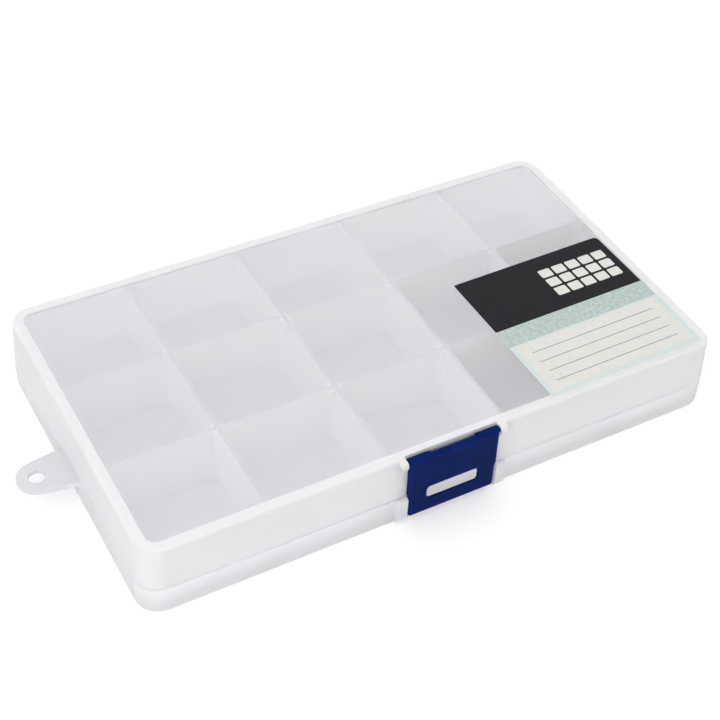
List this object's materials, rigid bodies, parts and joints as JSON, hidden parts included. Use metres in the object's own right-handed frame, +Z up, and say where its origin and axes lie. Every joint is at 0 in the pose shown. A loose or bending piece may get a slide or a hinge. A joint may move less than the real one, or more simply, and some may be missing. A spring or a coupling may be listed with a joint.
{
  "type": "divided bead organizer box",
  "caption": "Flat frosted plastic box with small compartments in rows under one hinged lid, held shut by a blue snap latch, with a hang tab at one end.",
  "frame": {"origin": "centre of the base's flat underside, on the surface that the box rests on", "axes": "+X along the long side, away from the hang tab; -Y towards the latch and +Y towards the hinge; +Z up through the lid"},
  "size_m": [0.1917, 0.1064, 0.0231],
  "materials": {
    "base_pp": "moulded polypropylene, frosted and translucent",
    "lid_pp": "thin moulded polypropylene, frosted outside, glossier inside",
    "divider_pp": "moulded polypropylene plate, translucent",
    "latch_pp": "moulded polypropylene, opaque royal blue, glossy",
    "label_film": "printed sticker with a satin film"
  },
  "bodies": {
    "base": {"base": "base_pp", "hang_tab": "base_pp", "divider_1": "divider_pp", "divider_2": "divider_pp", "divider_3": "divider_pp", "divider_4": "divider_pp", "divider_5": "divider_pp", "divider_6": "divider_pp", "divider_7": "divider_pp", "divider_8": "divider_pp", "divider_9": "divider_pp", "divider_10": "divider_pp"},
    "lid": {"lid": "lid_pp", "label": "label_film"},
    "latch": {"latch": "latch_pp"}
  },
  "joints": [
    {"name": "lid_hinge", "type": "hinge", "parent": "base", "child": "lid", "pos_m": [0, 0.0525, 0.009], "axis": [-1, 0, 0], "range_deg": [0, 120]},
    {"name": "latch_hinge", "type": "hinge", "parent": "lid", "child": "latch", "pos_m": [0, -0.04935, 0.0216], "axis": [-1, 0, 0], "range_deg": [0, 110]}
  ]
}
